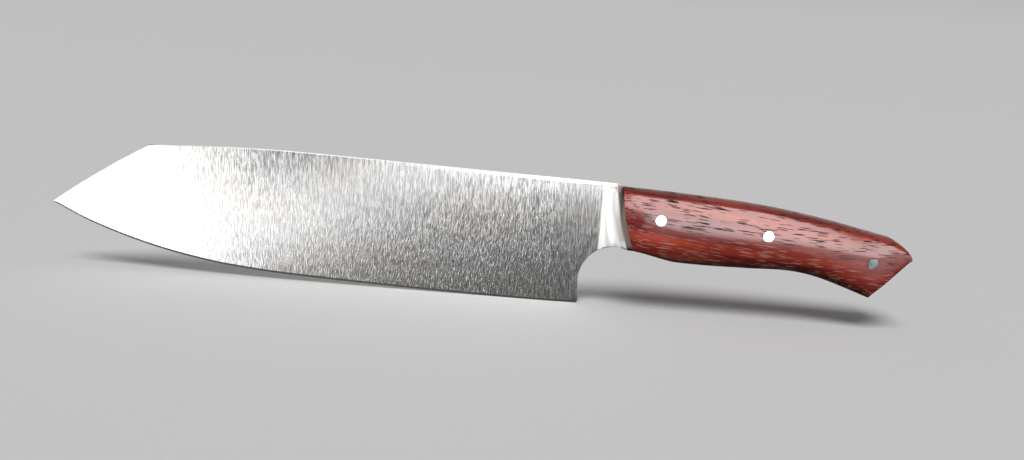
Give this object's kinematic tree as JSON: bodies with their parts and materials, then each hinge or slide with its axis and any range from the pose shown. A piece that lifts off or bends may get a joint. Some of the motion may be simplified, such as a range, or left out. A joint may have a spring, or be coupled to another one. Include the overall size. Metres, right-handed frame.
{
  "type": "kitchen knife",
  "caption": "Kitchen knife with a long blade and clipped tip, integral flared bolster with a finger notch, and a pinned hardwood handle.",
  "frame": {"origin": "centre of the base of the bounding box: under the middle of the knife's length, in the blade's middle plane, at the lowest point of the cutting edge", "axes": "+X from the tip to the butt, +Z from the cutting edge to the spine, +Y to the knife's right as it is held"},
  "size_m": [0.338, 0.0198, 0.0522],
  "materials": {
    "satin_steel": "satin, ground across the blade from spine to edge",
    "red_hardwood": "oiled and polished, open pores along the grain",
    "pin_steel": "ground flush and polished with the wood"
  },
  "bodies": {
    "root": {"blade_bolster_tang": "satin_steel", "handle_scale_left": "red_hardwood", "handle_scale_right": "red_hardwood", "pin_front": "pin_steel", "pin_middle": "pin_steel", "pin_rear": "pin_steel"}
  },
  "joints": []
}
